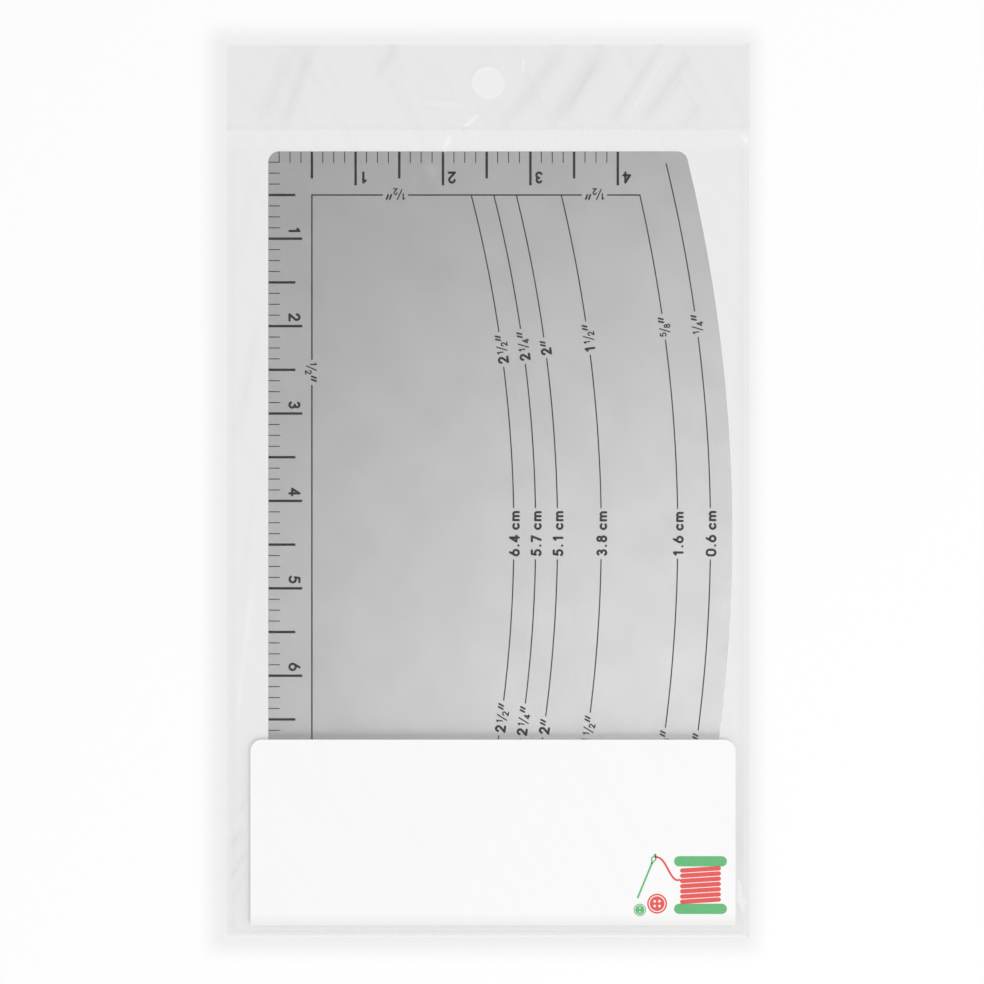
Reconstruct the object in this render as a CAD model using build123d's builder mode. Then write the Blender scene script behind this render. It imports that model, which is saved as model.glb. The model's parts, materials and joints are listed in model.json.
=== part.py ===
# Hem gauge of printed sheet aluminium, in its clear hang pouch with a folded paper card.
# Units are millimetres. The pouch lies flat, hang hole towards +Y and printed face up.
# The origin is the middle of the pouch's lower face.

from build123d import *
from dataclasses import dataclass
from math import asin, ceil, degrees, sin, sqrt
import os

# Scale unit: every tick, border and hem depth is a count of eighths of an inch
eighth = 3.175
eighths_per_half = 4
eighths_per_inch = 8
border_eighths = 4

# Gauge plate, straight on three sides and bowed on the hem side
plate_length = 222.25
plate_width = 134.9
plate_thickness = 0.81
plate_corner_radius = 3.2
hem_edge_radius = 460.4

# Print on the plate
ink_thickness = 0.03
print_margin = 0.1
fine_tick_length = 3.4
half_tick_length = 7.9
inch_tick_length = 9.9
fine_tick_width = 0.26
bold_tick_width = 0.72
line_width = 0.35
border_line_width = 0.41
line_step = 3.5
quarter_line_margin = 3.5
head_scale_inches = 4

# Lettering, heights measured over the ink
numeral_height = 3.55
numeral_pen = 0.68
numeral_inset = 6.0
numeral_tick_gap = 0.95
label_height = 3.2
label_pen = 0.68
fraction_height = 2.0
fraction_pen = 0.38
slash_pen = 0.36
inch_sign_pen = 0.54
fraction_drop = 0.25
label_drop = 0.14
letter_gap = 0.5
word_gap = 1.4
slash_tuck = 0.3
fraction_gap = 0.25
label_margin = 0.85

# Card folded round the gauge's foot
card_left_overhang = 5.13
card_right_overhang = 0.87
card_height = 54.2
card_stock = 0.35
card_corner_radius = 3.3

# Clear film pouch with a hang header
film_thickness = 0.1
header_height = 25.2
band_height = 5.3
tape_thickness = 0.05
hang_hole_radius = 4.6
hang_hole_drop = 11.4
side_weld_run = 3.3
foot_weld_run = 2.5
weld_slope_share = 0.64

# Fits: room between the layers, beside the card, under the card and the gauge, and at the mouth
slide_gap = 0.12
card_left_gap = 4.08
card_right_gap = 0.82
card_foot_gap = 0.84
gauge_foot_gap = 2.88
mouth_gap = 1.03

# Marks of each hem line: depth in eighths, whole inches, fraction and centimetres
hem_marks = {
    "quarter": (2, "", "14", "0.6"),
    "five_eighths": (5, "", "58", "1.6"),
    "one_and_half": (12, "1", "12", "3.8"),
    "two": (16, "2", "", "5.1"),
    "two_and_quarter": (18, "2", "14", "5.7"),
    "two_and_half": (20, "2", "12", "6.4"),
}

# Middles of the inch marks above and below the middle, in shares of half the plate's length
hem_label_shares = {
    "quarter": (0.548, 0.548),
    "five_eighths": (0.541, 0.541),
    "one_and_half": (0.512, 0.512),
    "two": (0.486, 0.505),
    "two_and_quarter": (0.490, 0.490),
    "two_and_half": (0.482, 0.482),
}

# Middles of the border's marks, in shares of the plate's width and length
border_head_label_shares = (0.274, 0.703)
border_side_label_shares = (0.289,)

# Glyph strokes in shares of the stroke height: one point is a dot, two are a line, three an arc
glyph_stroke_shares = {
    "0": (
        ((0, 0.68), (0.32, 1), (0.64, 0.68)),
        ((0.64, 0.68), (0.64, 0.32)),
        ((0.64, 0.32), (0.32, 0), (0, 0.32)),
        ((0, 0.32), (0, 0.68)),
    ),
    "1": (((0, 0.8), (0.22, 1)), ((0.22, 1), (0.22, 0))),
    "2": (
        ((0.03, 0.75), (0.4, 0.98), (0.51, 0.56)),
        ((0.51, 0.56), (0.02, 0)),
        ((0.02, 0), (0.62, 0)),
    ),
    "3": (
        ((0.07, 0.88), (0.47, 0.88), (0.27, 0.53)),
        ((0.27, 0.53), (0.5, 0.13), (0.04, 0.13)),
    ),
    "4": (((0.46, 0), (0.46, 1)), ((0.46, 1), (0, 0.27)), ((0, 0.27), (0.66, 0.27))),
    "5": (
        ((0.54, 1), (0.14, 1)),
        ((0.14, 1), (0.06, 0.56)),
        ((0.06, 0.56), (0.57, 0.28), (0.01, 0.14)),
    ),
    "6": (
        ((0.35, 1), (0.04, 0.46)),
        ((0, 0.31), (0.31, 0.62), (0.62, 0.31)),
        ((0.62, 0.31), (0.31, 0), (0, 0.31)),
    ),
    "7": (((0, 1), (0.56, 1)), ((0.56, 1), (0.16, 0))),
    "8": (
        ((0.06, 0.77), (0.29, 1), (0.52, 0.77)),
        ((0.52, 0.77), (0.29, 0.54), (0.06, 0.77)),
        ((0.02, 0.27), (0.29, 0.54), (0.56, 0.27)),
        ((0.56, 0.27), (0.29, 0), (0.02, 0.27)),
    ),
    "9": (
        ((0.27, 0), (0.58, 0.54)),
        ((0, 0.69), (0.31, 1), (0.62, 0.69)),
        ((0.62, 0.69), (0.31, 0.38), (0, 0.69)),
    ),
    "c": (((0.53, 0.53), (0, 0.31), (0.53, 0.09)),),
    "m": (
        ((0, 0), (0, 0.62)),
        ((0, 0.38), (0.23, 0.62), (0.46, 0.38)),
        ((0.46, 0.38), (0.46, 0)),
        ((0.46, 0.38), (0.69, 0.62), (0.92, 0.38)),
        ((0.92, 0.38), (0.92, 0)),
    ),
    ".": (((0.03, 0.03),),),
    "slash": (((0, 0), (0.45, 1)),),
    "inch": (((0, 0.54), (0.17, 1)), ((0.34, 0.54), (0.51, 1))),
}

# Heights of the layers, from the pouch's lower face up
card_bottom_z = film_thickness + slide_gap
plate_bottom_z = card_bottom_z + card_stock + slide_gap
plate_top_z = plate_bottom_z + plate_thickness
card_front_z = plate_top_z + ink_thickness + slide_gap
card_top_z = card_front_z + card_stock
tape_z = card_top_z + slide_gap
front_film_z = tape_z + tape_thickness
header_strip_z = front_film_z + film_thickness

# Overall sizes: the card follows the plate, and the pouch follows the card and the plate
card_width = card_left_overhang + plate_width + card_right_overhang
sleeve_width = card_left_gap + card_width + card_right_gap
pouch_width = sleeve_width + side_weld_run * 2
card_rise = foot_weld_run + card_foot_gap
sleeve_length = card_rise + gauge_foot_gap + plate_length + mouth_gap
pouch_length = sleeve_length + band_height + header_height

# Places of the pouch's features
pouch_foot_y = -pouch_length / 2
pouch_head_y = pouch_length / 2
header_foot_y = pouch_head_y - header_height
mouth_y = header_foot_y - band_height
hang_hole_y = pouch_head_y - hang_hole_drop
sleeve_half_width = sleeve_width / 2
sleeve_foot_y = pouch_foot_y + foot_weld_run

# Places of the card and the gauge
card_foot_y = pouch_foot_y + card_rise
fold_radius = (card_top_z - card_bottom_z) / 2
fold_y = card_foot_y + fold_radius
card_head_y = card_foot_y + card_height
card_left_x = card_left_gap - sleeve_half_width
plate_left_x = card_left_x + card_left_overhang
plate_right_x = plate_left_x + plate_width
plate_foot_y = card_foot_y + gauge_foot_gap
plate_head_y = plate_foot_y + plate_length
plate_middle_y = plate_foot_y + plate_length / 2
bow_centre_x = plate_right_x - hem_edge_radius

# Places of the printed border
border_inset = border_eighths * eighth
border_left_x = plate_left_x + border_inset
border_head_y = plate_head_y - border_inset
border_foot_y = plate_foot_y + border_inset
five_eighths_radius = hem_edge_radius - hem_marks["five_eighths"][0] * eighth

pieces = {}


def keep_piece(name, part):
    """Labels a finished piece and keeps it for export under its name."""
    part.label = name
    pieces[name] = part


# Gauge plate


def bow_point(radius, y):
    """Point at height y of the circle of the given radius about the hem edge's centre."""
    return (bow_centre_x + sqrt(radius**2 - (y - plate_middle_y) ** 2), y)


with BuildPart() as hem_gauge_plate:
    with BuildSketch(Plane.XY.offset(plate_bottom_z)) as plate_outline:
        with BuildLine():
            foot_corner = bow_point(hem_edge_radius, plate_foot_y)
            head_corner = bow_point(hem_edge_radius, plate_head_y)
            ThreePointArc(foot_corner, (plate_right_x, plate_middle_y), head_corner)
            Line(head_corner, (plate_left_x, plate_head_y))
            Line((plate_left_x, plate_head_y), (plate_left_x, plate_foot_y))
            Line((plate_left_x, plate_foot_y), foot_corner)
        make_face()
        fillet(plate_outline.vertices(), plate_corner_radius)
    extrude(amount=plate_thickness)
keep_piece("hem_gauge_plate", hem_gauge_plate.part)


# Scales along the straight edges


@dataclass
class EdgeScale:
    """A printed scale that runs from a corner of the plate along one of its straight edges."""

    name: str
    corner: tuple
    along: tuple
    inward: tuple
    turn: float
    reads_along: bool
    count: int
    numbers: int

    def point(self, distance, depth):
        """Place at a distance along the edge and a depth in from it."""
        return (
            self.corner[0] + self.along[0] * distance + self.inward[0] * depth,
            self.corner[1] + self.along[1] * distance + self.inward[1] * depth,
        )

    def draw_ticks(self, counts, length_of, width):
        """Draws the ticks that stand at the given counts of eighths."""
        for count in counts:
            depth = length_of(count)
            middle = self.point(count * eighth, (print_margin + depth) / 2)
            with Locations(Location((*middle, 0), (0, 0, self.turn))):
                Rectangle(width, depth - print_margin)


long_edge_count = round(plate_length / eighth) - 1
edge_scales = (
    EdgeScale(
        name="long_edge",
        corner=(plate_left_x, plate_head_y),
        along=(0, -1),
        inward=(1, 0),
        turn=-90,
        reads_along=True,
        count=long_edge_count,
        numbers=long_edge_count // eighths_per_inch,
    ),
    EdgeScale(
        name="head_edge",
        corner=(plate_left_x, plate_head_y),
        along=(1, 0),
        inward=(0, -1),
        turn=180,
        reads_along=False,
        count=head_scale_inches * eighths_per_inch,
        numbers=head_scale_inches,
    ),
    EdgeScale(
        name="foot_edge",
        corner=(plate_left_x, plate_foot_y),
        along=(1, 0),
        inward=(0, 1),
        turn=0,
        reads_along=True,
        count=head_scale_inches * eighths_per_inch,
        numbers=head_scale_inches,
    ),
)


def tick_length(scale, count):
    """Length of one tick, cut short where the next edge's own first tick stands in its way."""
    length = fine_tick_length
    if count % eighths_per_half == 0:
        length = half_tick_length
    if count % eighths_per_inch == 0:
        length = inch_tick_length
    room_at_ends = min(count * eighth, plate_length - count * eighth)
    if scale.name == "long_edge" and room_at_ends < fine_tick_length + fine_tick_width:
        length = min(length, eighth - fine_tick_width / 2)
    return length


for scale in edge_scales:
    fine_counts = [n for n in range(1, scale.count + 1) if n % eighths_per_half]
    bold_counts = [n for n in range(1, scale.count + 1) if n % eighths_per_half == 0]
    for grade, counts, width in (
        ("fine", fine_counts, fine_tick_width),
        ("bold", bold_counts, bold_tick_width),
    ):
        with BuildPart() as ticks:
            with BuildSketch(Plane.XY.offset(plate_top_z)):
                scale.draw_ticks(counts, lambda n: tick_length(scale, n), width)
            extrude(amount=ink_thickness)
        keep_piece(f"{scale.name}_{grade}_ticks", ticks.part)


# Lettering


def stroke_form(glyph, stroke_height, pen):
    """Draws one glyph with a round pen, the lower left end of its strokes at the origin."""
    with BuildSketch() as form:
        for stroke in glyph_stroke_shares[glyph]:
            points = [(across * stroke_height, up * stroke_height) for across, up in stroke]
            start, *rest = points
            if rest:
                with BuildLine():
                    if len(rest) > 1:
                        ThreePointArc(*points)
                    else:
                        Line(*points)
                trace(line_width=pen)
                with Locations(rest[-1]):
                    Circle(pen / 2)
            with Locations(start):
                Circle(pen / 2)
    return form.sketch


class Lettering:
    """One size of lettering: its forms are drawn once and placed as often as they are used."""

    def __init__(self, glyphs, height, pen):
        self.pen = pen
        self.height = height
        self.stroke_height = height - pen
        self.forms = {glyph: stroke_form(glyph, self.stroke_height, pen) for glyph in glyphs}

    def width(self, glyph):
        """Width of a glyph over its ink."""
        reach = max(across for stroke in glyph_stroke_shares[glyph] for across, _ in stroke)
        return reach * self.stroke_height + self.pen

    def bearing(self, glyph):
        """Room on each side of a digit that is set on the width of a nought."""
        return (self.width("0") - self.width(glyph)) / 2


numerals = Lettering("0123456789", numeral_height, numeral_pen)
labels = Lettering("012345678.cm", label_height, label_pen)
fractions = Lettering("12458", fraction_height, fraction_pen)
slashes = Lettering(("slash",), label_height, slash_pen)
inch_signs = Lettering(("inch",), label_height, inch_sign_pen)


class Label:
    """A row of glyphs, laid out from its left end about a middle line."""

    def __init__(self):
        self.glyphs = []
        self.length = 0

    def put(self, lettering, glyph, foot, gap):
        """Adds a glyph whose ink stands on foot, after a gap from the one before."""
        start = self.length + (gap if self.glyphs else 0)
        form = lettering.forms[glyph]
        self.glyphs.append((form, start + lettering.pen / 2, foot + lettering.pen / 2))
        self.length = start + lettering.width(glyph)

    def draw(self, middle, turn):
        """Draws the label into the sketch with its middle at a place, turned by degrees."""
        place = Location((*middle, 0), (0, 0, turn))
        for form, across, up in self.glyphs:
            with Locations(place * Location((across - self.length / 2, up - label_drop, 0))):
                add(form)


def inch_label(whole, fraction):
    """Label of whole inches and a fraction, such as the sign for two and a half inches."""
    label = Label()
    foot = -label_height / 2
    room = 0
    if whole:
        label.put(labels, whole, foot, 0)
        room = labels.bearing(whole)
    if fraction:
        over, under = fraction
        bearing = fractions.bearing(over)
        label.put(fractions, over, label_height / 2 - fraction_height, fraction_gap + room + bearing)
        label.put(slashes, "slash", foot, bearing - slash_tuck)
        label.put(fractions, under, foot - fraction_drop, -slash_tuck)
    label.put(inch_signs, "inch", foot, fraction_gap)
    return label


def metric_label(number):
    """Label of a length in centimetres, with every digit set on the width of a nought."""
    label = Label()
    foot = -label_height / 2
    bearing = 0
    for glyph in number:
        room = 0 if glyph == "." else labels.bearing(glyph)
        label.put(labels, glyph, foot, letter_gap + bearing + room)
        bearing = room
    label.put(labels, "c", foot, word_gap + bearing)
    label.put(labels, "m", foot, letter_gap)
    return label


for scale in edge_scales:
    with BuildPart() as scale_numerals:
        with BuildSketch(Plane.XY.offset(plate_top_z)):
            for number in range(1, scale.numbers + 1):
                label = Label()
                for digit in str(number):
                    label.put(numerals, digit, -numeral_height / 2, letter_gap)
                back = (bold_tick_width + numerals.width("0")) / 2 + numeral_tick_gap
                step = -back if scale.reads_along else back
                along = number * eighths_per_inch * eighth + step
                middle = scale.point(along, numeral_inset + numeral_height / 2)
                label.draw(middle, scale.turn)
        extrude(amount=ink_thickness)
    keep_piece(f"{scale.name}_numerals", scale_numerals.part)


# Hem lines, each broken by its labels


def hem_line_ends(name):
    """Foot and head ends of a hem line: it meets the border, or stops short of the plate's edge."""
    if name == "quarter":
        return plate_foot_y + quarter_line_margin, plate_head_y - quarter_line_margin
    return border_foot_y + border_line_width / 2, border_head_y - border_line_width / 2


def hem_labels(name):
    """Labels of one hem line from the foot up: each one's unit, its form and its middle's height."""
    _, whole, fraction, centimetres = hem_marks[name]
    upper, lower = hem_label_shares[name]
    reach = plate_length / 2
    return (
        ("inch", inch_label(whole, fraction), plate_middle_y - lower * reach),
        ("centimetre", metric_label(centimetres), plate_middle_y),
        ("inch", inch_label(whole, fraction), plate_middle_y + upper * reach),
    )


def label_angle(radius, y):
    """Angle in radians at which a circle about the hem edge's centre reaches height y."""
    return asin((y - plate_middle_y) / radius)


def bowed_outline(radius, low_y, high_y):
    """Corners round a bowed line, in straight steps too short to show on its circle."""
    steps = ceil((high_y - low_y) / line_step)
    heights = [low_y + (high_y - low_y) * step / steps for step in range(steps + 1)]
    outer = [bow_point(radius + line_width / 2, y) for y in heights]
    inner = [bow_point(radius - line_width / 2, y) for y in reversed(heights)]
    return outer + inner


hem_label_rows = {name: hem_labels(name) for name in hem_marks}

for name, (depth_eighths, _, _, _) in hem_marks.items():
    radius = hem_edge_radius - depth_eighths * eighth
    start_y, end_y = hem_line_ends(name)
    with BuildPart() as hem_line:
        with BuildSketch(Plane.XY.offset(plate_top_z)):
            spans = []
            for _, label, middle_y in hem_label_rows[name]:
                half_gap = (label.length / 2 + label_margin) / radius
                angle = label_angle(radius, middle_y)
                spans.append((start_y, plate_middle_y + radius * sin(angle - half_gap)))
                start_y = plate_middle_y + radius * sin(angle + half_gap)
            spans.append((start_y, end_y))
            for low_y, high_y in spans:
                with BuildLine():
                    Polyline(*bowed_outline(radius, low_y, high_y), close=True)
                make_face()
        extrude(amount=ink_thickness)
    keep_piece(f"hem_line_{name}", hem_line.part)

for unit in ("inch", "centimetre"):
    with BuildPart() as unit_marks:
        with BuildSketch(Plane.XY.offset(plate_top_z)):
            for name, (depth_eighths, _, _, _) in hem_marks.items():
                radius = hem_edge_radius - depth_eighths * eighth
                for label_unit, label, middle_y in hem_label_rows[name]:
                    if label_unit == unit:
                        turn = 90 + degrees(label_angle(radius, middle_y))
                        label.draw(bow_point(radius, middle_y), turn)
        extrude(amount=ink_thickness)
    keep_piece(f"{unit}_marks", unit_marks.part)


# Border half an inch in from the straight edges

border_mark = inch_label("", "12")
border_gap = border_mark.length / 2 + label_margin
border_right_x = bow_point(five_eighths_radius, border_head_y)[0] + line_width / 2
head_breaks = [plate_left_x + share * plate_width for share in border_head_label_shares]
side_breaks = [plate_head_y - share * plate_length for share in border_side_label_shares]


def runs_between(start, breaks, end):
    """Stretches of a line from start to end, broken about each of the given middles."""
    runs = []
    for middle in breaks:
        runs.append((start, middle - border_gap))
        start = middle + border_gap
    return [*runs, (start, end)]


with BuildPart() as border_line:
    with BuildSketch(Plane.XY.offset(plate_top_z)):
        for line_y in (border_head_y, border_foot_y):
            for start_x, end_x in runs_between(
                border_left_x - border_line_width / 2, head_breaks, border_right_x
            ):
                with Locations(((start_x + end_x) / 2, line_y)):
                    Rectangle(end_x - start_x, border_line_width)
        for start_y, end_y in runs_between(border_foot_y, side_breaks, border_head_y):
            with Locations((border_left_x, (start_y + end_y) / 2)):
                Rectangle(border_line_width, end_y - start_y)
    extrude(amount=ink_thickness)
keep_piece("border_line", border_line.part)

with BuildPart() as border_marks:
    with BuildSketch(Plane.XY.offset(plate_top_z)):
        for middle_x in head_breaks:
            border_mark.draw((middle_x, border_head_y), 180)
            border_mark.draw((middle_x, border_foot_y), 0)
        for middle_y in side_breaks:
            border_mark.draw((border_left_x, middle_y), -90)
    extrude(amount=ink_thickness)
keep_piece("border_marks", border_marks.part)


# Card, folded round the gauge's foot

for name, level, corner in (
    ("card_front_panel", card_front_z, card_corner_radius),
    ("card_back_panel", card_bottom_z, card_corner_radius),
):
    with BuildPart() as card_panel:
        with BuildSketch(Plane.XY.offset(level)) as card_outline:
            with Locations((card_left_x + card_width / 2, (fold_y + card_head_y) / 2)):
                Rectangle(card_width, card_head_y - fold_y)
            head_corners = card_outline.vertices().group_by(Axis.Y)[-1]
            fillet(head_corners, corner)
        extrude(amount=card_stock)
    keep_piece(name, card_panel.part)

with BuildPart() as card_fold:
    with BuildSketch(Plane.YZ.offset(card_left_x)):
        fold_middle = (fold_y, card_bottom_z + fold_radius)
        with BuildLine():
            outer_arc = CenterArc(fold_middle, fold_radius, 90, 180)
            inner_arc = CenterArc(fold_middle, fold_radius - card_stock, 90, 180)
            Line(outer_arc @ 0, inner_arc @ 0)
            Line(outer_arc @ 1, inner_arc @ 1)
        make_face()
    extrude(amount=card_width)
keep_piece("card_fold", card_fold.part)


# Pouch films

with BuildPart() as back_film:
    with BuildSketch():
        with Locations((0, (pouch_foot_y + mouth_y) / 2)):
            Rectangle(pouch_width, mouth_y - pouch_foot_y)
    extrude(amount=film_thickness)
keep_piece("back_film", back_film.part)

with BuildPart() as front_film:
    with BuildSketch(Plane.XY.offset(front_film_z)):
        with Locations((0, (sleeve_foot_y + mouth_y) / 2)):
            Rectangle(sleeve_width, mouth_y - sleeve_foot_y)
        with Locations((0, (mouth_y + pouch_head_y) / 2)):
            Rectangle(pouch_width, pouch_head_y - mouth_y)
        with Locations((0, hang_hole_y)):
            Circle(hang_hole_radius, mode=Mode.SUBTRACT)
    extrude(amount=film_thickness)
keep_piece("front_film", front_film.part)

for name, level, foot_y in (
    ("header_strip", header_strip_z, header_foot_y),
    ("closing_lip", 0, mouth_y),
):
    with BuildPart() as header_layer:
        with BuildSketch(Plane.XY.offset(level)):
            with Locations((0, (foot_y + pouch_head_y) / 2)):
                Rectangle(pouch_width, pouch_head_y - foot_y)
            with Locations((0, hang_hole_y)):
                Circle(hang_hole_radius, mode=Mode.SUBTRACT)
        extrude(amount=film_thickness)
    keep_piece(name, header_layer.part)

with BuildPart() as adhesive_strip:
    with BuildSketch(Plane.XY.offset(tape_z)):
        with Locations((0, (mouth_y + header_foot_y) / 2)):
            Rectangle(pouch_width, band_height)
    extrude(amount=tape_thickness)
keep_piece("adhesive_strip", adhesive_strip.part)


# Welds: the front film comes down to the back film along three sides


def weld_outline(start, run, outward):
    """Section of a weld: a slope down from the front film, then a flat land on the back film."""
    slope_end = start + outward * run * weld_slope_share
    land_end = start + outward * run
    return (
        (start, front_film_z),
        (slope_end, film_thickness),
        (land_end, film_thickness),
        (land_end, film_thickness * 2),
        (slope_end, film_thickness * 2),
        (start, front_film_z + film_thickness),
    )


def mitre_plane(side):
    """Upright plane through a foot corner, where a side weld meets the foot weld."""
    inner = Vector(side * sleeve_half_width, sleeve_foot_y, 0)
    outer = Vector(side * pouch_width / 2, pouch_foot_y, 0)
    along = outer - inner
    return Plane(origin=inner, x_dir=along, z_dir=Vector(-along.Y, along.X, 0) * side)


for name, side in (("left_side_weld", -1), ("right_side_weld", 1)):
    with BuildPart() as side_weld:
        with BuildSketch(Plane.XZ.offset(-mouth_y)):
            with BuildLine():
                Polyline(
                    *weld_outline(side * sleeve_half_width, side_weld_run, side), close=True
                )
            make_face()
        extrude(amount=mouth_y - pouch_foot_y)
        split(bisect_by=mitre_plane(side), keep=Keep.TOP)
    keep_piece(name, side_weld.part)

with BuildPart() as foot_weld:
    with BuildSketch(Plane.YZ.offset(-pouch_width / 2)):
        with BuildLine():
            Polyline(*weld_outline(sleeve_foot_y, foot_weld_run, -1), close=True)
        make_face()
    extrude(amount=pouch_width)
    for side in (-1, 1):
        split(bisect_by=mitre_plane(side), keep=Keep.BOTTOM)
keep_piece("foot_weld", foot_weld.part)


os.makedirs("parts", exist_ok=True)
for name, part in pieces.items():
    export_step(part, f"parts/{name}.step")
    print(name, f"{part.volume:.3f}", len(part.solids()))
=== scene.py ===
"""Looks of a curved hem gauge with a folded card, in a clear hang pouch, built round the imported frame.

Lengths are written in millimetres and turned into metres with MM. +Y runs up the pouch to its hang
hole, +Z out of the printed face, and the pouch lies on a white table.
"""

import json
import logging
import math
from dataclasses import dataclass
from enum import Enum
from typing import Callable, Optional

import bpy
import numpy as np
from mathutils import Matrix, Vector

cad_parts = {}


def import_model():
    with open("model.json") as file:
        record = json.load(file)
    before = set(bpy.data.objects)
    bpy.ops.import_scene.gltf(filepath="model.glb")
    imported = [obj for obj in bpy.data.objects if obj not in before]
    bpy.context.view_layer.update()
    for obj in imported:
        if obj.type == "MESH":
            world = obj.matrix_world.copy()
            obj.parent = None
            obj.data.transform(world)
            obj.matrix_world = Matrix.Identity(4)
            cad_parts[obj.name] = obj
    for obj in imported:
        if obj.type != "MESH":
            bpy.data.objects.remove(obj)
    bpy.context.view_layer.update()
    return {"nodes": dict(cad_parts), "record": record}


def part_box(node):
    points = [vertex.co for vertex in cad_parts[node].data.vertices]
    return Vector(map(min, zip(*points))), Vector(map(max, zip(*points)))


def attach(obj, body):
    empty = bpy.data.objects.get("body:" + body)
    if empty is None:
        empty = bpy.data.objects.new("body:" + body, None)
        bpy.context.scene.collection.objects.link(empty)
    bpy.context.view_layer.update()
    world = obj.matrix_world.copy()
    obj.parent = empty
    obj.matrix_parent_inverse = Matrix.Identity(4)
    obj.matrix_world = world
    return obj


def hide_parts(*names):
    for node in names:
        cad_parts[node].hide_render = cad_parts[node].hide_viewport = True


log = logging.getLogger("gauge_scene")

MM = 0.001
FULL_TURN = 2 * math.pi
RIM_ANGLE = math.radians(50)
LEAST_LENGTH = 1e-6
Point = tuple[float, float]
Colour = tuple[float, float, float]
Outline = list[Point]
Faces = list[list[int]]


class Mark(Enum):
    """Names of the mesh attributes that carry a film's painted shade along creases and painted highlights
    to its finish.
    """

    CREASE_SHADE = "crease_shade"
    GLEAM = "gleam"


class Effect(Enum):
    """Names of the shared shader groups."""

    CLOUD = "soft_cloud"
    GRAIN = "long_grain"
    CUT_EDGE = "cut_edge"
    PATCH = "soft_patch"


# Node wiring


class Wiring:
    """Adds nodes to one tree and joins their sockets."""

    def __init__(self, tree: bpy.types.NodeTree) -> None:
        """Takes the tree to work in."""
        self.tree = tree

    def add(self, kind: str, settings: Optional[dict] = None, **inputs: object) -> bpy.types.Node:
        """Adds a node.

        Args:
            kind: The node's Blender type.
            settings: Properties to set on the node itself.
            inputs: Values or sockets for its inputs, with _ for a space in the name.

        Returns:
            The new node.
        """
        node = self.tree.nodes.new(kind)
        for name, value in (settings or {}).items():
            setattr(node, name, value)
        self.feed(node, **inputs)
        return node

    def feed(self, node: bpy.types.Node, **inputs: object) -> None:
        """Gives values or sockets to a node's inputs, with _ for a space in the name."""
        for name, value in inputs.items():
            self.join(node.inputs[name.replace("_", " ")], value)

    def join(self, socket: bpy.types.NodeSocket, value: object) -> None:
        """Links a socket into another, or sets a plain value on it.

        Args:
            socket: The input.
            value: A socket, a number or a colour of three parts.
        """
        if isinstance(value, bpy.types.NodeSocket):
            self.tree.links.new(value, socket)
        else:
            socket.default_value = (*value, 1.0) if isinstance(value, tuple) else value

    def calculate(self, operation: str, *values: object) -> bpy.types.NodeSocket:
        """Adds a sum.

        Args:
            operation: The name of the sum.
            values: Its one or two values.

        Returns:
            The result.
        """
        node = self.add("ShaderNodeMath", {"operation": operation})
        for socket, value in zip(node.inputs, values):
            self.join(socket, value)
        return node.outputs[0]

    def weigh(self, base: object, *parts: tuple[object, float]) -> object:
        """Adds masks to a value, each times its share.

        Args:
            base: The value to start from.
            parts: The masks with their shares.

        Returns:
            The sum.
        """
        for mask, share in parts:
            base = self.calculate("ADD", base, self.calculate("MULTIPLY", mask, share))
        return base

    def remap(self, value: object, start: tuple, end: tuple = (0.0, 1.0)) -> bpy.types.NodeSocket:
        """Moves a value from one range to another and holds it inside.

        Args:
            value: The value.
            start: The range that it comes from.
            end: The range that it goes to.

        Returns:
            The moved value.
        """
        ranges = dict(zip(("From_Min", "From_Max", "To_Min", "To_Max"), (*start, *end)))
        return self.add("ShaderNodeMapRange", Value=value, **ranges).outputs["Result"]

    def blend(self, share: object, first: object, second: object) -> bpy.types.NodeSocket:
        """Mixes two colours.

        Args:
            share: How much of the second there is, from 0 to 1.
            first: The first colour.
            second: The second colour.

        Returns:
            The colour between them.
        """
        node = self.add("ShaderNodeMix", {"data_type": "RGBA"}, Factor=share)
        colours = [socket for socket in node.inputs if socket.type == "RGBA"]
        self.join(colours[0], first)
        self.join(colours[1], second)
        return next(socket for socket in node.outputs if socket.type == "RGBA")

    def bump(self, height: object, distance: float, strength: float) -> bpy.types.NodeSocket:
        """Returns the normal of a surface with a relief of a depth in millimetres."""
        relief = self.add("ShaderNodeBump", Height=height, Distance=distance * MM, Strength=strength)
        return relief.outputs["Normal"]

    def attribute(self, mark: Mark) -> bpy.types.NodeSocket:
        """Returns the value that a mesh carries under a mark's name."""
        return self.add("ShaderNodeAttribute", {"attribute_name": mark.value}).outputs["Fac"]

    def effect(self, effect: Effect, **inputs: object) -> bpy.types.NodeSocket:
        """Places a shared shader group and returns its mask."""
        return self.add("ShaderNodeGroup", {"node_tree": shared_group(effect)}, **inputs).outputs["Mask"]

    def patch(self, middle: Point, half: Point, softness: float) -> bpy.types.NodeSocket:
        """Places a soft-edged rectangle in the sheet.

        Args:
            middle: Its middle.
            half: Half its width and half its height.
            softness: Half the width of its soft edge.

        Returns:
            A mask that is 1 inside it.
        """
        return self.effect(
            Effect.PATCH,
            Middle_X=middle[0] * MM,
            Middle_Y=middle[1] * MM,
            Half_width=half[0] * MM,
            Half_height=half[1] * MM,
            Softness=softness * MM,
        )


# Shared shader groups


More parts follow.
